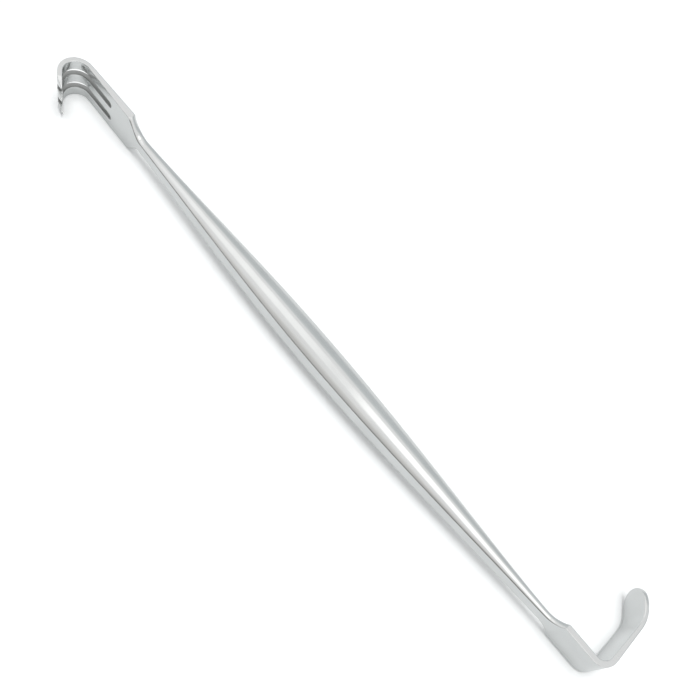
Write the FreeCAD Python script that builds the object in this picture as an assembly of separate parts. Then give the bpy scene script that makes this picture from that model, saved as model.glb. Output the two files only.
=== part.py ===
import FreeCAD, Part
import math
import os

# Double-ended surgical hand retractor, forged in one piece from stainless steel.
# It lies on its side, as it comes to rest on a tray. X runs along the instrument,
# with the three-pronged rake at -X and the blade at +X. Y is the way the blade
# points. Z is up, across the width of the rake and of the blade, and Z = 0 is the
# plane that the instrument is symmetric about. The origin is on the handle's axis,
# halfway along the overall length. All sizes are in millimetres and degrees.

# Overall
overall_length = 160.0

# Handle: a spindle with two narrow flats and two barrel-shaped sides
grip_height = 6.8
grip_width = 5.8
grip_flat = 2.9
grip_place = -3.0
flat_crown = 0.10

# Necks, where the handle is thinnest, next to each working end
rake_neck_width = 2.5
rake_neck_flat = 2.1
rake_swell = 1.45
rake_offset_swell = 0.7
blade_neck_width = 3.0
blade_neck_flat = 2.5
blade_swell = 1.5
blade_offset_swell = 0.35

# Shoulders, where each neck flares out to the full width of its plate. On the side
# that the prongs curl to, the rake's shoulder is shorter and has a rounded corner.
shoulder_length = 4.2
rake_shoulder_power = 1.75
rake_low_shoulder_length = 3.4
blade_shoulder_power = 2.2

# Rake: a tapering plate, split by slots into prongs that curl over into a hook
rake_width = 8.2
rake_plate_length = 13.0
rake_plate_thickness = 1.7
rake_plate_offset = 0.62
rake_plate_fall = 0.6
prong_count = 3
prong_width = 1.93
prong_thickness = 1.02
hook_radius = 2.75
hook_sweep = 141.0
prong_straight = 1.3
point_length = 2.3
point_blunt = 0.24
point_power = 1.3
slot_length = 11.2

# Blade: a strip bent up square, with a curled lip and a round end
blade_width = 7.4
strip_length = 8.1
strip_thickness = 1.38
strip_offset = 0.70
bend_radius = 2.3
blade_lean = 2.4
blade_straight = 9.6
lip_thickness = 1.1
lip_radius = 6.6
lip_angle = 39.0
lip_straight = 4.65

# Soft edges all round the blade, so that it spares the tissue it holds back
blade_edge_radius = 0.3


# Places that follow from the sizes
hook_outer_radius = hook_radius + prong_thickness
hook_center_x = hook_outer_radius - overall_length / 2
rake_shoulder_x = hook_center_x + rake_plate_length
bend_outer_radius = bend_radius + strip_thickness
bend_center_x = overall_length / 2 - bend_outer_radius
blade_shoulder_x = bend_center_x - strip_length
strip_inner_y = strip_offset + strip_thickness / 2
bend_center_y = strip_inner_y + bend_radius


def blend(low, high, share):
    return low + (high - low) * share


def swell(share, power):
    """Share of the way from a neck's size to the grip's size."""
    return math.sin(math.pi / 2 * share) ** power


def hollow_flare(distance, length, power):
    """Share of the plate's extra width that is left, along one hollow curve."""
    return max(0.0, 1 - distance / length) ** power


def rounded_flare(distance, length):
    """The same for a rounded corner that runs on into a hollow."""
    return (1 + math.cos(math.pi * min(1.0, distance / length))) / 2


def curved_edge(start, middle, end):
    """A smooth edge that passes through three points."""
    control = middle * 2 - (start + end) / 2
    curve = Part.BezierCurve()
    curve.setPoles([start, control, end])
    return curve.toShape()


def handle_section(x, center_y, half_height, half_low_flat, half_high_flat, half_width, crown):
    """Four-sided section: two crowned flats joined by two barrel-shaped sides."""
    low = center_y - half_height
    high = center_y + half_height
    low_left = FreeCAD.Vector(x, low, -half_low_flat)
    low_right = FreeCAD.Vector(x, low, half_low_flat)
    high_right = FreeCAD.Vector(x, high, half_high_flat)
    high_left = FreeCAD.Vector(x, high, -half_high_flat)
    low_middle = FreeCAD.Vector(x, low - crown, 0)
    high_middle = FreeCAD.Vector(x, high + crown, 0)
    right_middle = FreeCAD.Vector(x, center_y, half_width)
    left_middle = FreeCAD.Vector(x, center_y, -half_width)
    edges = [
        curved_edge(low_left, low_middle, low_right),
        curved_edge(low_right, right_middle, high_right),
        curved_edge(high_right, high_middle, high_left),
        curved_edge(high_left, left_middle, low_left),
    ]
    return Part.Wire(edges)


def rake_section(share):
    """Section at a share of the way from the rake's shoulder to the thick of the grip."""
    x = blend(rake_shoulder_x, grip_place, share)
    growth = swell(share, rake_swell)
    distance = x - rake_shoulder_x
    low_widening = rounded_flare(distance, rake_low_shoulder_length)
    high_widening = hollow_flare(distance, shoulder_length, rake_shoulder_power)
    middle_widening = (low_widening + high_widening) / 2
    flat = blend(rake_neck_flat, grip_flat, growth)
    width = blend(rake_neck_width, grip_width, growth)
    return handle_section(
        x,
        rake_plate_offset * (1 - swell(share, rake_offset_swell)),
        blend(rake_plate_thickness, grip_height, growth) / 2,
        blend(flat, rake_width, low_widening) / 2,
        blend(flat, rake_width, high_widening) / 2,
        blend(width, rake_width, middle_widening) / 2,
        flat_crown * (1 - high_widening),
    )


def blade_section(share):
    """Section at a share of the way from the blade's shoulder to the thick of the grip."""
    x = blend(blade_shoulder_x, grip_place, share)
    growth = swell(share, blade_swell)
    widening = hollow_flare(blade_shoulder_x - x, shoulder_length, blade_shoulder_power)
    half_flat = blend(blend(blade_neck_flat, grip_flat, growth), blade_width, widening) / 2
    half_width = blend(blend(blade_neck_width, grip_width, growth), blade_width, widening) / 2
    return handle_section(
        x,
        strip_offset * (1 - swell(share, blade_offset_swell)),
        blend(strip_thickness, grip_height, growth) / 2,
        half_flat,
        half_flat,
        half_width,
        flat_crown * (1 - widening),
    )


def station_shares(shoulder_x):
    """Close stations over the shoulder's curve, then even steps to the grip."""
    length = abs(grip_place - shoulder_x)
    over_shoulder = [step * shoulder_length / length for step in (0, 0.2, 0.4, 0.6, 0.8, 1.0)]
    first = over_shoulder[-1]
    along_handle = [first + (1 - first) * step / 6 for step in range(1, 7)]
    return over_shoulder + along_handle


def make_handle():
    """Handle and both shoulders, lofted from the rake's plate to the blade's strip."""
    rake_side = [rake_section(share) for share in station_shares(rake_shoulder_x)]
    blade_side = [blade_section(share) for share in station_shares(blade_shoulder_x)]
    return Part.makeLoft(rake_side + blade_side[-2::-1], True, False)


def heading(angle):
    """Unit vector in the XY plane."""
    return FreeCAD.Vector(math.cos(math.radians(angle)), math.sin(math.radians(angle)), 0)


def arc_edge(center, radius, start_angle, end_angle):
    points = [
        center + heading(angle) * radius
        for angle in (start_angle, (start_angle + end_angle) / 2, end_angle)
    ]
    return Part.Arc(*points).toShape()


def angle_of(vector):
    return math.degrees(math.atan2(vector.y, vector.x))


def touch_angle_from_point(point, center, radius):
    """Where, seen from a circle's centre, a line from an outside point touches it."""
    away = point - center
    return angle_of(away) + math.degrees(math.acos(radius / away.Length))


def touch_angle_of_two(center, radius, next_center, next_radius):
    """Where one straight line touches two circles that lie on the same side of it."""
    apart = next_center - center
    return angle_of(apart) - math.degrees(math.acos((radius - next_radius) / apart.Length))


def extrude_profile(edges, width):
    """Solid from a closed profile in the XY plane, centred on Z = 0."""
    face = Part.Face(Part.Wire(edges))
    face.translate(FreeCAD.Vector(0, 0, -width / 2))
    return face.extrude(FreeCAD.Vector(0, 0, width))


# The hook curls down from the end of the plate. Angles are measured at its centre.
hook_start_angle = 90.0 + rake_plate_fall
hook_end_angle = hook_start_angle + hook_sweep
plate_outer_start = FreeCAD.Vector(
    rake_shoulder_x, rake_plate_offset + rake_plate_thickness / 2, 0)
plate_outer_end = plate_outer_start + heading(180.0 + rake_plate_fall) * rake_plate_length
hook_center = plate_outer_end - heading(hook_start_angle) * hook_outer_radius
prong_heading = heading(hook_end_angle + 90.0)
prong_outward = heading(hook_end_angle)


def make_rake_band():
    """Side profile of plate and hook, up to where the points begin."""
    plate_inner_start = plate_outer_start - FreeCAD.Vector(0, rake_plate_thickness, 0)
    inner_touch = touch_angle_from_point(plate_inner_start, hook_center, hook_radius)
    plate_inner_end = hook_center + heading(inner_touch) * hook_radius
    hook_outer_end = hook_center + prong_outward * hook_outer_radius
    hook_inner_end = hook_center + prong_outward * hook_radius
    straight = prong_heading * prong_straight
    edges = [
        Part.makeLine(plate_inner_start, plate_outer_start),
        Part.makeLine(plate_outer_start, plate_outer_end),
        arc_edge(hook_center, hook_outer_radius, hook_start_angle, hook_end_angle),
        Part.makeLine(hook_outer_end, hook_outer_end + straight),
        Part.makeLine(hook_outer_end + straight, hook_inner_end + straight),
        Part.makeLine(hook_inner_end + straight, hook_inner_end),
        arc_edge(hook_center, hook_radius, hook_end_angle, inner_touch),
        Part.makeLine(plate_inner_end, plate_inner_start),
    ]
    return extrude_profile(edges, rake_width)


prong_pitch = (rake_width - prong_width) / (prong_count - 1)
slot_width = prong_pitch - prong_width


def prong_center_z(index):
    return -rake_width / 2 + prong_width / 2 + index * prong_pitch


def make_slot(index):
    """Slot between two prongs, open at the hook and round at its end in the plate."""
    center_z = prong_center_z(index) + prong_pitch / 2
    end_x = slot_length - overall_length / 2 - slot_width / 2
    height = 4 * (hook_outer_radius + point_length + prong_straight)
    start = FreeCAD.Vector(end_x - overall_length / 4, -height / 2, center_z - slot_width / 2)
    box = Part.makeBox(overall_length / 4, height, slot_width, start)
    round_end = Part.makeCylinder(
        slot_width / 2, height, FreeCAD.Vector(end_x, -height / 2, center_z), FreeCAD.Vector(0, 1, 0))
    return box.fuse(round_end)


def point_section(center_z, distance, share):
    """Rectangle across a prong's point, kept flush with the inside of the hook."""
    base = hook_center + prong_outward * hook_radius
    base = base + prong_heading * (prong_straight + distance)
    across = FreeCAD.Vector(0, 0, share * prong_width / 2)
    out = prong_outward * (share * prong_thickness)
    middle = base + FreeCAD.Vector(0, 0, center_z)
    corners = [middle - across, middle + across, middle + across + out, middle - across + out]
    return Part.makePolygon(corners + corners[:1])


def make_point(index):
    """A prong's sharpened end: both edges and the back run together in a smooth curve."""
    blunt_share = point_blunt / prong_width
    sections = []
    for step in range(5):
        share = step / 4
        size = blend(1.0, blunt_share, share ** point_power)
        sections.append(point_section(prong_center_z(index), share * point_length, size))
    return Part.makeLoft(sections, True, False)


def make_rake():
    """Plate and hook, with slots cut and points added."""
    rake = make_rake_band()
    for index in range(prong_count - 1):
        rake = rake.cut(make_slot(index))
    for index in range(prong_count):
        rake = rake.fuse(make_point(index))
    return rake.removeSplitter()


# The blade stands up from the strip, leans a little toward the handle, and its lip
# curls further the same way.
blade_heading = 90.0 + blade_lean
lip_heading = blade_heading + lip_angle
bend_center = FreeCAD.Vector(bend_center_x, bend_center_y, 0)
blade_inner_start = bend_center + heading(blade_heading - 90.0) * bend_radius
blade_inner_end = blade_inner_start + heading(blade_heading) * blade_straight
lip_center = blade_inner_end + heading(blade_heading + 90.0) * lip_radius
lip_outer_radius = lip_radius + lip_thickness
lip_end = lip_center + heading(lip_heading - 90.0) * lip_radius + heading(lip_heading) * lip_straight


def make_blade_band():
    """Side profile of strip, bend, blade and lip. Its back thins toward the lip."""
    strip_inner_start = FreeCAD.Vector(blade_shoulder_x, strip_inner_y, 0)
    strip_outer_start = strip_inner_start - FreeCAD.Vector(0, strip_thickness, 0)
    bend_inner_start = bend_center + heading(-90.0) * bend_radius
    bend_outer_start = bend_center + heading(-90.0) * bend_outer_radius
    back_touch = touch_angle_of_two(bend_center, bend_outer_radius, lip_center, lip_outer_radius)
    bend_outer_end = bend_center + heading(back_touch) * bend_outer_radius
    lip_outer_start = lip_center + heading(back_touch) * lip_outer_radius
    lip_inner_end = lip_center + heading(lip_heading - 90.0) * lip_radius
    lip_outer_end = lip_center + heading(lip_heading - 90.0) * lip_outer_radius
    straight = heading(lip_heading) * lip_straight
    edges = [
        Part.makeLine(strip_outer_start, bend_outer_start),
        arc_edge(bend_center, bend_outer_radius, -90.0, back_touch),
        Part.makeLine(bend_outer_end, lip_outer_start),
        arc_edge(lip_center, lip_outer_radius, back_touch, lip_heading - 90.0),
        Part.makeLine(lip_outer_end, lip_outer_end + straight),
        Part.makeLine(lip_outer_end + straight, lip_inner_end + straight),
        Part.makeLine(lip_inner_end + straight, lip_inner_end),
        arc_edge(lip_center, lip_radius, lip_heading - 90.0, blade_heading - 90.0),
        Part.makeLine(blade_inner_end, blade_inner_start),
        arc_edge(bend_center, bend_radius, blade_heading - 90.0, -90.0),
        Part.makeLine(bend_inner_start, strip_inner_start),
        Part.makeLine(strip_inner_start, strip_outer_start),
    ]
    return extrude_profile(edges, blade_width)


def make_round_end_cutter():
    """What lies outside the half circle that finishes the lip."""
    radius = blade_width / 2
    along = heading(lip_heading)
    through = heading(lip_heading - 90.0)
    center = lip_end - along * radius
    start = center - through * radius
    side = FreeCAD.Vector(0, 0, 2 * radius)
    beyond = along * (2 * radius)
    corners = [start - side, start + side, start + side + beyond, start - side + beyond]
    block = Part.Face(Part.makePolygon(corners + corners[:1])).extrude(through * (2 * radius))
    disc = Part.makeCylinder(radius, 4 * radius, center - through * (2 * radius), through)
    return block.cut(disc)


def runs_along_side(edge):
    """True for the long edges on both sides of the blade, which lead round its end."""
    box = edge.BoundBox
    level = box.ZMax - box.ZMin < 1e-4
    at_side = abs(abs(box.Center.z) - blade_width / 2) < 1e-4
    return level and at_side and edge.Length > 1.2 * strip_thickness


def make_blade():
    """Strip and blade with a round end, and with its edges softened."""
    blade = make_blade_band().cut(make_round_end_cutter()).removeSplitter()
    return blade.makeFillet(blade_edge_radius, [edge for edge in blade.Edges if runs_along_side(edge)])


def make_retractor():
    body = make_handle().fuse([make_rake(), make_blade()])
    body = body.removeSplitter()
    return body.Solids[0] if len(body.Solids) == 1 else body


retractor_body = make_retractor()

os.makedirs("parts", exist_ok=True)
retractor_body.exportStep("parts/retractor_body.step")
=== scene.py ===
import math
import bmesh
import bpy
from mathutils import Matrix, Vector


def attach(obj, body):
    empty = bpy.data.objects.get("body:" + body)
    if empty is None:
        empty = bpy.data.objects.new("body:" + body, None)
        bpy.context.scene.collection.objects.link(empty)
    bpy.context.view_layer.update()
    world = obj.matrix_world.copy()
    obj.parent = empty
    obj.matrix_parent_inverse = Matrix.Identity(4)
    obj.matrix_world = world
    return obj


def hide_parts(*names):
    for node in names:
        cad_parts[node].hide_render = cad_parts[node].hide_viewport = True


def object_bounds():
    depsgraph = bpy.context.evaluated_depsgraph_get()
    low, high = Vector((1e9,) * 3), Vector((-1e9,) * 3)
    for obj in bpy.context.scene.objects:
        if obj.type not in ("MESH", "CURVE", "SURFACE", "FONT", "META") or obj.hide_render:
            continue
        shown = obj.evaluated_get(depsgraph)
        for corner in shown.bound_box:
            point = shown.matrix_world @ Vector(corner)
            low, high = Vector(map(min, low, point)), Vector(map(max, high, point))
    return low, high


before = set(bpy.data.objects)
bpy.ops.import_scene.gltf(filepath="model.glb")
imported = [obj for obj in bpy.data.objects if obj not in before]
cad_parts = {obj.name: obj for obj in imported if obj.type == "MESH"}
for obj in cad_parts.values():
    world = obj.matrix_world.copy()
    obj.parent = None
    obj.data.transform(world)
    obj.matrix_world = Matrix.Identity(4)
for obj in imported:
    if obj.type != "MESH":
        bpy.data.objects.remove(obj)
cad_low, cad_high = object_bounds()

# A double-ended hand retractor in satin steel, lying on its side. It is modelled as
# one forging: a bar is drawn out both ways from the thick of the grip, and its two
# ends are flattened, slotted and bent. Every size is in metres, in the CAD's frame.
mm = 0.001

# Handle
grip_place = -3.0 * mm
grip_height = 6.8 * mm
grip_width = 5.8 * mm
grip_flat = 2.9 * mm
flat_crown = 0.10 * mm

# Necks and shoulders
shoulder_length = 4.2 * mm
rake_neck_width = 2.5 * mm
rake_neck_flat = 2.1 * mm
rake_swell = 1.45
rake_offset_swell = 0.7
rake_shoulder_power = 1.75
rake_low_shoulder_length = 3.4 * mm
blade_neck_width = 3.0 * mm
blade_neck_flat = 2.5 * mm
blade_swell = 1.5
blade_offset_swell = 0.35
blade_shoulder_power = 2.2

# Rake
rake_width = 8.2 * mm
rake_plate_length = 13.0 * mm
rake_plate_thickness = 1.7 * mm
rake_plate_offset = 0.62 * mm
rake_plate_fall = math.radians(0.6)
prong_width = 1.93 * mm
prong_thickness = 1.02 * mm
hook_radius = 2.75 * mm
hook_sweep = math.radians(141.0)
prong_straight = 1.3 * mm
point_length = 2.3 * mm
point_blunt = 0.24 * mm
point_power = 1.3
slot_length = 11.2 * mm

# Blade
blade_width = 7.4 * mm
strip_length = 8.1 * mm
strip_thickness = 1.38 * mm
strip_offset = 0.70 * mm
bend_radius = 2.3 * mm
blade_lean = math.radians(2.4)
blade_straight = 9.6 * mm
lip_thickness = 1.1 * mm
lip_radius = 6.6 * mm
lip_angle = math.radians(39.0)
lip_straight = 4.65 * mm

# Behind the rake's plate the flare is crowned. Its two flats are this much narrower
# than its middle, and step in over this length.
rake_step = 1.3 * mm
rake_step_length = 0.25 * mm

# Width of the rounding at each place's edges
blade_edge = 0.30 * mm
strip_edge = 0.09 * mm
handle_edge = 0.18 * mm
rake_edge = 0.12 * mm

# Loops of the cage. The shares give the loops over a shoulder's curve, and the angles
# those over the blade's round end. A loop held close to a shoulder keeps its corner.
shoulder_shares = (0, 0.035, 0.12, 0.25, 0.4, 0.58, 0.78, 1)
handle_steps = 11
shoulder_hold = 0.15 * mm
plate_step = 2 * mm
slot_lead = 1.6 * mm
prong_steps = (2.2 * mm, 4.5 * mm)
hook_steps = 14
point_steps = 5
strip_step = 3 * mm
bend_lead = 2.2 * mm
bend_steps = 10
blade_steps = 4
lip_steps = 5
end_angles = [math.radians(angle) for angle in (0, 19, 38, 56)]

# Places that follow from the sizes and from the CAD's ends
rake_end = cad_low.x
blade_end = cad_high.x
slot_width = (rake_width - 3 * prong_width) / 2
hook_outer_radius = hook_radius + prong_thickness
hook_x = rake_end + hook_outer_radius
rake_shoulder = hook_x + rake_plate_length
plate_outer_y = rake_plate_offset + rake_plate_thickness / 2
hook_y = plate_outer_y - math.tan(rake_plate_fall) * rake_plate_length - hook_outer_radius
slot_center = rake_end + slot_length - slot_width / 2
bend_outer_radius = bend_radius + strip_thickness
bend_x = blade_end - bend_outer_radius
blade_shoulder = bend_x - strip_length
bend_y = strip_offset + strip_thickness / 2 + bend_radius
blade_heading = math.radians(90) + blade_lean
lip_heading = blade_heading + lip_angle

# The bar's end face is a grid of five rows across its height and thirteen columns
# across its width. The columns stand, as shares of the half width, where the rake's
# slots and their round ends will be: one in the middle, these five on each side, and
# one on each edge. The rows are 0.5 apart, so the reach finds one row alone.
rows = (-1.0, -0.5, 0.0, 0.5, 1.0)
row_reach = 0.2
slot_turns = [math.radians(angle) for angle in (0, 45, 90, 135, 180)]
slot_z = (prong_width + slot_width) / 2
columns = [(slot_z - slot_width / 2 * math.cos(turn)) / (rake_width / 2) for turn in slot_turns]
half_columns = len(columns) + 1
# Smoothing draws the barrel sides in, so they are first made fuller by this much.
fullness = 12 / 11
# Vertices this close to a place, or to a share of the width, stand at it.
tiny = 0.01 * mm
tiny_share = 0.01


def blend(low, high, share):
    return low + (high - low) * share


def heading(angle):
    """Unit vector in the plane that the instrument is symmetric about."""
    return Vector((math.cos(angle), math.sin(angle), 0))


def pick(test):
    """Selects the vertices whose place passes a test, with the faces between them."""
    mesh = bmesh.from_edit_mesh(bpy.context.object.data)
    for vertex in mesh.verts:
        vertex.select_set(False)
    for vertex in mesh.verts:
        vertex.select_set(test(vertex.co))
    mesh.select_flush_mode()
    bmesh.update_edit_mesh(bpy.context.object.data)


def extrude(step):
    bpy.ops.mesh.extrude_region_move(TRANSFORM_OT_translate={"value": step})


def resize(scale, center):
    bpy.ops.transform.resize(value=scale, center_override=center)


def move(step):
    bpy.ops.transform.translate(value=step)


def bend(steps, angle, center):
    """Draws the selection round a line across the width. A positive angle turns from X to Y."""
    bpy.ops.mesh.spin(steps=steps, angle=angle, center=center, axis=(0, 0, -1))


def thin(share, inner_point, across):
    """Thins the selection towards the line through a point, seen along the width."""
    side = Vector((0, 0, 1))
    along = side.cross(across)
    axes = Matrix((across, along, side)).transposed()
    bpy.ops.transform.resize(
        value=(share, 1, 1), center_override=inner_point,
        orient_type="GLOBAL", orient_matrix=axes, orient_matrix_type="GLOBAL")


class Section:
    """The bar's end face at one place along the instrument."""

    def __init__(self, x, center, height, low_flat, high_flat, width):
        self.x = x
        self.center = center
        self.height = height
        flat = (low_flat + high_flat) / 2
        full = flat + (width - flat) * fullness
        # A parabola runs from the low flat through the full width to the high flat.
        self.half_widths = []
        for row in rows:
            share = (1 + row) / 2
            half_width = (
                (1 - share) ** 2 * low_flat
                + 2 * share * (1 - share) * (2 * full - flat)
                + share ** 2 * high_flat
            ) / 2
            self.half_widths.append(half_width)

    def row_y(self, row):
        return self.center + row * self.height / 2


def swell(share, power):
    """Share of the way from a neck's size to the grip's size."""
    return math.sin(math.pi / 2 * share) ** power


def rake_section(distance):
    """Section of handle or shoulder at a distance from the rake's shoulder."""
    share = distance / (grip_place - rake_shoulder)
    growth = swell(share, rake_swell)
    low_flare = (1 + math.cos(math.pi * min(1, distance / rake_low_shoulder_length))) / 2
    high_flare = max(0, 1 - distance / shoulder_length) ** rake_shoulder_power
    step = rake_step * min(1, distance / rake_step_length) * high_flare
    flat = blend(rake_neck_flat, grip_flat, growth)
    width = blend(rake_neck_width, grip_width, growth)
    return Section(
        rake_shoulder + distance,
        rake_plate_offset * (1 - swell(share, rake_offset_swell)),
        blend(rake_plate_thickness, grip_height, growth),
        blend(flat, rake_width, low_flare) - step,
        blend(flat, rake_width, high_flare) - step,
        blend(width, rake_width, (low_flare + high_flare) / 2))


def blade_section(distance):
    """Section of handle or shoulder at a distance from the blade's shoulder."""
    share = distance / (blade_shoulder - grip_place)
    growth = swell(share, blade_swell)
    flare = max(0, 1 - distance / shoulder_length) ** blade_shoulder_power
    flat = blend(blend(blade_neck_flat, grip_flat, growth), blade_width, flare)
    width = blend(blend(blade_neck_width, grip_width, growth), blade_width, flare)
    return Section(
        blade_shoulder - distance,
        strip_offset * (1 - swell(share, blade_offset_swell)),
        blend(strip_thickness, grip_height, growth),
        flat, flat, width)


def plate_section(x):
    """Section of the rake's plate, which thins towards the hook."""
    share = (rake_shoulder - x) / rake_plate_length
    outer = blend(plate_outer_y, hook_y + hook_outer_radius, share)
    inner = blend(plate_outer_y - rake_plate_thickness, hook_y + hook_radius, share)
    return Section(x, (outer + inner) / 2, outer - inner, rake_width, rake_width, rake_width)


def strip_section(x):
    return Section(x, strip_offset, strip_thickness, blade_width, blade_width, blade_width)


def draw_out(old, new, chosen=None):
    """Extrudes the end face from one section to the next, and shapes it to fit."""
    pick(lambda place: abs(place.x - old.x) < tiny and (chosen is None or chosen(place)))
    extrude((new.x - old.x, new.center - old.center, 0))
    resize((1, new.height / old.height, 1), (new.x, new.center, 0))
    if new.half_widths == old.half_widths:
        return
    for row, old_half, new_half in zip(rows, old.half_widths, new.half_widths):
        low = new.row_y(row - row_reach)
        high = new.row_y(row + row_reach)
        pick(lambda place: abs(place.x - new.x) < tiny and low < place.y < high)
        resize((1, 1, new_half / old_half), (new.x, 0, 0))


def handle_stations(length):
    """Distances from a shoulder: close over its curve, then wider towards the grip."""
    stations = [shoulder_length * share for share in shoulder_shares]
    for step in range(1, handle_steps + 1):
        share = 1 - math.cos(math.pi / 2 * step / handle_steps)
        stations.append(shoulder_length + (length - shoulder_length) * share)
    return stations


def start_bar():
    """A grid across the thick of the grip, shaped to the grip's section."""
    bpy.ops.object.select_all(action="DESELECT")
    bpy.ops.mesh.primitive_grid_add(
        x_subdivisions=2 * half_columns, y_subdivisions=len(rows) - 1, size=1,
        location=(grip_place, 0, 0), rotation=(0, math.radians(90), 0))
    bar = bpy.context.object
    bar.name = "retractor"
    bar.data.name = "retractor"
    bpy.ops.object.transform_apply(location=True, rotation=True, scale=True)
    bpy.ops.object.mode_set(mode="EDIT")
    bpy.ops.mesh.select_mode(type="VERT")
    for index, column in enumerate(columns):
        even = (index + 1) / half_columns
        pick(lambda place: abs(abs(place.z) * 2 - even) < tiny_share)
        resize((1, 1, column / even), (grip_place, 0, 0))
    for name, side in (("low_face", -1), ("high_face", 1)):
        pick(lambda place: place.y * side > 0.5 - tiny_share)
        bar.vertex_groups.new(name=name)
        bpy.ops.object.vertex_group_assign()
    grip = rake_section(grip_place - rake_shoulder)
    pick(lambda place: True)
    resize((1, grip.height, 1), (grip_place, 0, 0))
    for row, half_width in zip(rows, grip.half_widths):
        pick(lambda place: abs(place.y - grip.row_y(row)) < tiny)
        resize((1, 1, 2 * half_width), (grip_place, 0, 0))
    for column in [0] + columns:
        for side in (-1, 1):
            pick(lambda place: abs(place.y - grip.row_y(side)) < tiny
                 and abs(abs(place.z) - column * grip_flat / 2) < tiny)
            move((0, side * flat_crown * (1 - column ** 2), 0))
    return bar, grip


def draw_handle(grip):
    """Draws the bar out both ways, down the handle and out over both shoulders."""
    blade_distances = handle_stations(blade_shoulder - grip_place)[::-1]
    section = grip
    for distance in blade_distances[1:]:
        following = blade_section(distance)
        draw_out(section, following)
        section = following
    blade_side = section
    section = grip
    for distance in handle_stations(grip_place - rake_shoulder)[::-1][1:]:
        following = rake_section(distance)
        draw_out(section, following)
        section = following
    return blade_side, section


def in_prong(place):
    share = abs(place.z) / (rake_width / 2)
    return share < columns[0] + tiny_share or share > columns[-1] - tiny_share


def make_rake(section):
    """Plate, slots and prongs. The slots' ends stay behind as the prongs are drawn out."""
    to_slots = (
        rake_shoulder - shoulder_hold, rake_shoulder - plate_step, slot_center + slot_lead, slot_center)
    for x in to_slots:
        following = plate_section(x)
        draw_out(section, following)
        section = following
    half_slot = slot_width / 2
    for turn, column in zip(slot_turns[1:-1], columns[1:-1]):
        pick(lambda place: abs(place.x - slot_center) < tiny
             and abs(abs(place.z) - column * rake_width / 2) < tiny)
        move((half_slot * math.sin(turn), 0, 0))
    for x in (slot_center - half_slot, *(slot_center - step for step in prong_steps), hook_x):
        following = plate_section(x)
        draw_out(section, following, in_prong)
        section = following
    pick(lambda place: abs(place.x - hook_x) < tiny)
    bend(hook_steps, hook_sweep + rake_plate_fall, (hook_x, hook_y, 0))
    sharpen_prongs()


def sharpen_prongs():
    """Straight ends of the prongs, and points that taper on three sides."""
    end_angle = math.radians(90) + rake_plate_fall + hook_sweep
    outward = heading(end_angle)
    along = heading(end_angle + math.radians(90))
    inner_point = Vector((hook_x, hook_y, 0)) + outward * hook_radius + along * prong_straight
    extrude(along * prong_straight / 2)
    extrude(along * prong_straight / 2)
    share = 0
    size = 1
    for step in range(1, point_steps + 1):
        next_share = step / point_steps
        next_size = blend(1, point_blunt / prong_width, next_share ** point_power)
        extrude(along * point_length * (next_share - share))
        inner_point = inner_point + along * point_length * (next_share - share)
        thin(next_size / size, inner_point, outward)
        far = (inner_point - along * tiny).dot(along)

        def at_tips(place):
            return place.dot(along) > far and place.y < hook_y and place.x < slot_center

        for index in (-1, 0, 1):
            center_z = index * (prong_width + slot_width)
            pick(lambda place: at_tips(place) and abs(place.z - center_z) < prong_width)
            resize((1, 1, next_size / size), (0, 0, center_z))
        pick(at_tips)
        share = next_share
        size = next_size


def make_blade(section):
    """Strip, square bend, blade and curled lip."""
    for x in (blade_shoulder + shoulder_hold, blade_shoulder + strip_step, bend_x - bend_lead, bend_x):
        following = strip_section(x)
        draw_out(section, following)
        section = following
    pick(lambda place: abs(place.x - bend_x) < tiny)
    bend(bend_steps, blade_heading, (bend_x, bend_y, 0))
    across = heading(blade_lean)
    along = heading(blade_heading)
    inner_point = Vector((bend_x, bend_y, 0)) + across * bend_radius
    thickness = strip_thickness
    for step in range(1, blade_steps + 1):
        inner_point = inner_point + along * blade_straight / blade_steps
        next_thickness = blend(strip_thickness, lip_thickness, step / blade_steps)
        extrude(along * blade_straight / blade_steps)
        thin(next_thickness / thickness, inner_point, across)
        thickness = next_thickness
    lip_center = inner_point - across * lip_radius
    bend(lip_steps, lip_angle, lip_center)
    round_blade_end(lip_center + heading(lip_heading - math.radians(90)) * lip_radius)


def round_blade_end(lip_start):
    """Finishes the lip with a half circle across its width."""
    radius = blade_width / 2
    along = heading(lip_heading)
    extrude(along * (lip_straight - radius))
    reach = (lip_start + along * (lip_straight - radius)).dot(along)
    for last, angle in zip(end_angles, end_angles[1:]):
        extrude(along * radius * (math.sin(angle) - math.sin(last)))
        resize((1, 1, math.cos(angle) / math.cos(last)), (0, 0, 0))
    for step, angle in enumerate(end_angles[1:], 1):
        level = reach + radius * math.sin(angle)
        half_width = radius * math.cos(angle)
        for column in [0] + columns:
            pick(lambda place: abs(place.dot(along) - level) < tiny and place.y > bend_y
                 and abs(abs(place.z) - column * half_width) < tiny)
            arc = radius * math.sqrt(1 - (column * math.cos(end_angles[-1])) ** 2)
            full_bow = arc - radius * math.sin(end_angles[-1])
            move(along * full_bow * step / (len(end_angles) - 1))


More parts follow.
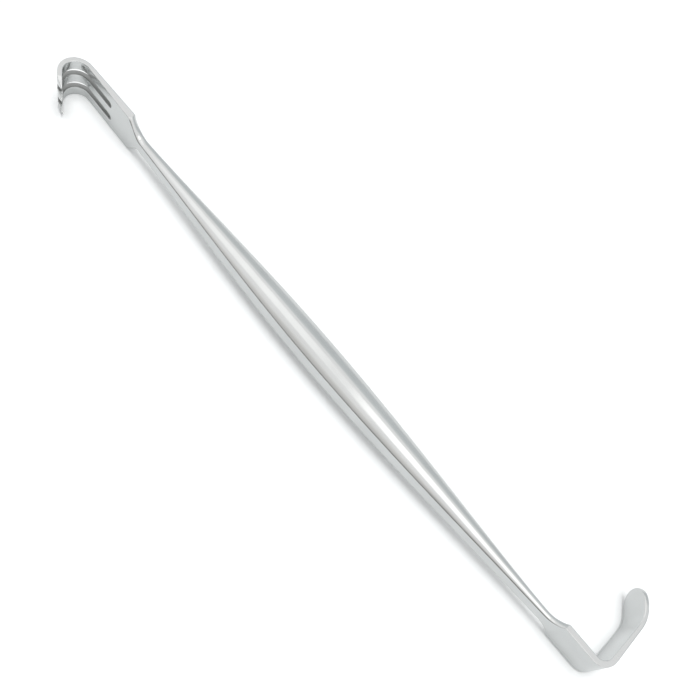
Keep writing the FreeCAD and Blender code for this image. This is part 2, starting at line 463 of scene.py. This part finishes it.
def soften_edges(bar):
    """Rounds the rims of the low and high face, each as wide as its place asks, and smooths the bar."""
    bpy.ops.mesh.select_all(action="SELECT")
    bpy.ops.mesh.remove_doubles(threshold=tiny / 10)
    bpy.ops.mesh.normals_make_consistent(inside=False)
    bpy.ops.mesh.select_all(action="DESELECT")
    bpy.ops.mesh.select_mode(type="EDGE")
    bpy.ops.mesh.edges_select_sharp(sharpness=math.radians(30))
    mesh = bmesh.from_edit_mesh(bar.data)
    layers = mesh.edges.layers.float
    weight = layers.get("bevel_weight_edge") or layers.new("bevel_weight_edge")
    groups = mesh.verts.layers.deform.active
    for edge in mesh.edges:
        shared = set(edge.verts[0][groups].keys()) & set(edge.verts[1][groups].keys())
        if edge.select and shared:
            edge[weight] = edge_width((edge.verts[0].co + edge.verts[1].co) / 2) / blade_edge
    bmesh.update_edit_mesh(bar.data)
    bpy.ops.mesh.select_mode(type="VERT")
    bpy.ops.object.mode_set(mode="OBJECT")
    bevel = bar.modifiers.new("rounded_edges", "BEVEL")
    bevel.width = blade_edge
    bevel.segments = 2
    bevel.limit_method = "WEIGHT"
    bevel.use_clamp_overlap = False
    bpy.ops.object.modifier_apply(modifier=bevel.name)
    smooth = bar.modifiers.new("smoothing", "SUBSURF")
    smooth.levels = 2
    smooth.render_levels = 2
    bpy.ops.object.modifier_apply(modifier=smooth.name)
    bpy.ops.object.shade_smooth()
    bar.vertex_groups.clear()


def edge_width(place):
    """Rounding at a place: wide on the blade, finer on handle and rake, finest at the points."""
    if place.x > grip_place:
        share = min(1, max(0, (place.x - blade_shoulder + shoulder_length) / shoulder_length))
        up_blade = min(1, max(0, (place.y - bend_y) / blade_straight))
        return blend(blend(handle_edge, strip_edge, share), blade_edge, up_blade)
    end_angle = math.radians(90) + rake_plate_fall + hook_sweep
    along = heading(end_angle + math.radians(90))
    into_point = (place - Vector((hook_x, hook_y, 0))).dot(along) - prong_straight
    if place.y < hook_y and into_point > 0:
        share = min(1, into_point / point_length)
        return rake_edge * blend(1, point_blunt / prong_width, share ** point_power)
    share = min(1, max(0, (rake_shoulder + shoulder_length - place.x) / shoulder_length))
    return blend(handle_edge, rake_edge, share)


bar, grip = start_bar()
blade_side, rake_side = draw_handle(grip)
make_rake(rake_side)
make_blade(blade_side)
soften_edges(bar)

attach(bar, "root")
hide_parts("retractor_body")


# Satin steel. The grain is long along the instrument and fine across it, and the
# cloud is a faint change of tone and finish over a few millimetres.
steel_low = (0.655, 0.664, 0.662, 1)
steel_high = (0.695, 0.704, 0.702, 1)
# Painted shade: the slots' walls get about half the steel's tone, for the shade inside them.
shaded_slot_steel = (0.34, 0.345, 0.34, 1)
grain_per_metre = (60, 2600, 2600)
cloud_per_metre = 140.0
cloud_low = 0.3
cloud_high = 0.7
least_roughness = 0.08
grain_roughness = 0.12
cloud_roughness = 0.05
milled_roughness = 0.24
grain_depth = 0.02 * mm
# The milled finish and the slots' painted shade fade out this far past the slots' walls.
fade_start = 0.06 * mm
fade_end = 0.14 * mm


class Socket:
    """A shader socket that Python's operators build Math nodes from."""

    def __init__(self, shader, output):
        self.shader = shader
        self.output = output

    def join(self, operation, other, swapped=False):
        pair = (other, self) if swapped else (self, other)
        return self.shader.node("ShaderNodeMath", {"operation": operation}, pair)

    def __add__(self, other):
        return self.join("ADD", other)

    __radd__ = __add__

    def __sub__(self, other):
        return self.join("SUBTRACT", other)

    def __rsub__(self, other):
        return self.join("SUBTRACT", other, swapped=True)

    def __mul__(self, other):
        return self.join("MULTIPLY", other)

    __rmul__ = __mul__

    def __abs__(self):
        return self.shader.node("ShaderNodeMath", {"operation": "ABSOLUTE"}, (self,))

    def at_least(self, other):
        return self.join("MAXIMUM", other)

    def root(self):
        return self.shader.node("ShaderNodeMath", {"operation": "SQRT"}, (self,))


class Shader:
    """The nodes of a material or of the world."""

    def __init__(self, owner):
        owner.use_nodes = True
        self.owner = owner
        self.tree = owner.node_tree
        self.tree.nodes.clear()

    def node(self, kind, settings=None, inputs=(), output=0):
        """Adds one node: its settings first, then the values or links of its sockets."""
        made = self.tree.nodes.new(kind)
        for name, value in (settings or {}).items():
            if name == "stops":
                for stop, (place, color) in zip(made.color_ramp.elements, value):
                    stop.position = place
                    stop.color = color
            else:
                setattr(made, name, value)
        pairs = inputs.items() if isinstance(inputs, dict) else enumerate(inputs)
        for name, value in pairs:
            if isinstance(value, Socket):
                self.tree.links.new(value.output, made.inputs[name])
            else:
                made.inputs[name].default_value = value
        return Socket(self, made.outputs[output]) if made.outputs else None


def slot_walls(shader, place):
    """Is 1 on the walls of the rake's slots, which are milled and duller and darkened with painted
    shade, and 0 elsewhere.
    """
    x = shader.node("ShaderNodeSeparateXYZ", inputs=(place,), output="X")
    z = shader.node("ShaderNodeSeparateXYZ", inputs=(place,), output="Z")
    past_end = (x - slot_center).at_least(0)
    aside = abs(z) - slot_z
    from_middle = (past_end * past_end + aside * aside).root()
    return shader.node("ShaderNodeMapRange", inputs={
        "Value": from_middle,
        "From Min": slot_width / 2 + fade_start, "From Max": slot_width / 2 + fade_end,
        "To Min": 1.0, "To Max": 0.0})


def satin_steel():
    shader = Shader(bpy.data.materials.new("satin_steel"))
    place = shader.node("ShaderNodeTexCoord", output="Object")
    streaks = shader.node("ShaderNodeMapping", inputs={"Vector": place, "Scale": grain_per_metre})
    grain = shader.node(
        "ShaderNodeTexNoise", inputs={"Vector": streaks, "Scale": 1.0, "Detail": 3.0, "Roughness": 0.6})
    cloud = shader.node(
        "ShaderNodeTexNoise",
        inputs={"Vector": place, "Scale": cloud_per_metre, "Detail": 2.0, "Roughness": 0.5})
    color = shader.node(
        "ShaderNodeValToRGB", {"stops": ((cloud_low, steel_low), (cloud_high, steel_high))}, (cloud,))
    # Painted shade: this mask darkens the slots' walls in tone, and it also makes them rougher.
    milled_and_shaded = slot_walls(shader, place)
    # A Mix node's sockets for colours are 6, 7 and output 2, and its factor is 0.
    tone = shader.node(
        "ShaderNodeMix", {"data_type": "RGBA"}, {0: milled_and_shaded, 6: color, 7: shaded_slot_steel}, output=2)
    roughness = (
        least_roughness + grain_roughness * grain + cloud_roughness * cloud + milled_roughness * milled_and_shaded)
    bump = shader.node(
        "ShaderNodeBump", inputs={"Strength": 0.32, "Distance": grain_depth, "Height": grain})
    steel = shader.node("ShaderNodeBsdfPrincipled", inputs={
        "Base Color": tone, "Metallic": 1.0, "Roughness": roughness, "Normal": bump})
    shader.node("ShaderNodeOutputMaterial", inputs=(steel,))
    return shader.owner


bar.data.materials.append(satin_steel())


# Stage: a white table top, soft light from above, and a white background. Sky and
# overhead light each give the table this share of full white.
sky_share = 0.45
overhead_share = 0.52
overhead_angle = math.radians(36)
light_height = 0.6
softbox_depth = 0.4
softbox_color = (1.0, 0.995, 0.97)
table_size = 6
table_gap = 0.02 * mm
table_color = (0.955, 0.975, 0.978, 1)
table_glow = 0.16
card_length = 1.6
white = (1, 1, 1, 1)


def make_table():
    """A white top just under the instrument, with a glow that only the camera sees."""
    bpy.ops.mesh.primitive_plane_add(size=table_size, location=(0, 0, cad_low.z - table_gap))
    table = bpy.context.object
    table.name = "table_top"
    shader = Shader(bpy.data.materials.new("table_white"))
    paper = shader.node("ShaderNodeBsdfDiffuse", inputs={"Color": table_color})
    seen = shader.node("ShaderNodeLightPath", output="Is Camera Ray")
    glow = shader.node("ShaderNodeEmission", inputs={"Color": white, "Strength": table_glow})
    lifted = shader.node("ShaderNodeAddShader", inputs=(paper, glow))
    top = shader.node("ShaderNodeMixShader", inputs=(seen, paper, lifted))
    shader.node("ShaderNodeOutputMaterial", inputs=(top,))
    table.data.materials.append(shader.owner)


def make_card(name, y, height, dark_share, dark, light):
    """An upright card that only the steel shows. It is dark over its lowest share, then lighter."""
    bpy.ops.mesh.primitive_plane_add(
        size=1, location=(0, y, height / 2), rotation=(math.radians(90), 0, 0))
    card = bpy.context.object
    card.name = name
    card.scale = (card_length, height, 1)
    shader = Shader(bpy.data.materials.new(name))
    place = shader.node("ShaderNodeTexCoord", output="Object")
    level = shader.node("ShaderNodeSeparateXYZ", inputs=(place,), output="Y") + 0.5
    color = shader.node(
        "ShaderNodeValToRGB", {"stops": ((dark_share, dark), (1.0, light))}, (level,))
    glow = shader.node("ShaderNodeEmission", inputs={"Color": color, "Strength": 1.0})
    shader.node("ShaderNodeOutputMaterial", inputs=(glow,))
    card.data.materials.append(shader.owner)
    card.visible_camera = False
    card.visible_diffuse = False
    card.visible_shadow = False


def make_overhead():
    """The part of the table's light that comes from above, and keeps the shadow close."""
    light = bpy.data.lights.new("overhead", "SUN")
    light.angle = overhead_angle
    light.energy = overhead_share * math.pi
    lamp = bpy.data.objects.new("overhead", light)
    lamp.location = (0, 0, light_height)
    lamp.visible_glossy = False
    bpy.context.scene.collection.objects.link(lamp)


def make_world():
    """An even sky that camera and steel see as white, and that gives the table part of its light."""
    world = bpy.data.worlds.new("studio")
    bpy.context.scene.world = world
    shader = Shader(world)
    seen = shader.node("ShaderNodeLightPath", output="Is Camera Ray")
    mirrored = shader.node("ShaderNodeLightPath", output="Is Glossy Ray")
    through = shader.node("ShaderNodeLightPath", output="Is Transmission Ray")
    shown = seen.at_least(mirrored).at_least(through)
    strength = sky_share + (1 - sky_share) * shown
    sky = shader.node("ShaderNodeBackground", inputs={"Color": white, "Strength": strength})
    shader.node("ShaderNodeOutputWorld", inputs=(sky,))


def softbox(name, low_x, high_x, brightness):
    """A light overhead that only the steel shows, brighter than the world by so much."""
    light = bpy.data.lights.new(name, "AREA")
    light.shape = "RECTANGLE"
    light.size = high_x - low_x
    light.size_y = softbox_depth
    light.energy = brightness * math.pi * light.size * light.size_y
    light.color = softbox_color
    lamp = bpy.data.objects.new(name, light)
    lamp.location = ((low_x + high_x) / 2, 0, light_height)
    lamp.visible_diffuse = False
    bpy.context.scene.collection.objects.link(lamp)


# Camera, fitted to the photo. Its place and the directions of the picture's right and
# top are in the CAD's frame. The picture's side, the point where the optical axis meets
# it and the focal length are in pixels.
camera_place = Vector((0.029705, -0.083730, 0.138552))
camera_right = Vector((0.64710, 0.71396, 0.26744))
camera_up = Vector((-0.76206, 0.59508, 0.25525))
picture_side = 700
picture_axis = (314.31, 556.82)
picture_focal_length = 804.0
sensor_side = 36


def make_camera():
    camera = bpy.data.cameras.new("camera")
    camera.sensor_width = sensor_side
    camera.lens = sensor_side * picture_focal_length / picture_side
    camera.shift_x = (picture_side / 2 - picture_axis[0]) / picture_side
    camera.shift_y = (picture_axis[1] - picture_side / 2) / picture_side
    camera.clip_start = 0.01
    camera.clip_end = 10
    mount = bpy.data.objects.new("camera", camera)
    turn = Matrix((camera_right, camera_up, camera_right.cross(camera_up))).transposed()
    mount.matrix_world = Matrix.Translation(camera_place) @ turn.to_4x4()
    bpy.context.scene.collection.objects.link(mount)
    bpy.context.scene.camera = mount


make_table()
make_world()
make_overhead()
make_card(
    "dark_card", y=-0.5, height=0.78, dark_share=0.25,
    dark=(0.05, 0.0495, 0.048, 1), light=(1.0, 0.99, 0.965, 1))
make_card(
    "far_card", y=0.5, height=0.62, dark_share=0.5,
    dark=(0.665, 0.693, 0.7, 1), light=(0.76, 0.792, 0.8, 1))
# The gap between the softboxes breaks the long highlight at the middle of the handle.
softbox("soft_light", low_x=-0.42, high_x=-0.118, brightness=0.28)
softbox("bright_light", low_x=-0.06, high_x=0.35, brightness=0.62)
make_camera()

scene = bpy.context.scene
scene.view_settings.view_transform = "Standard"
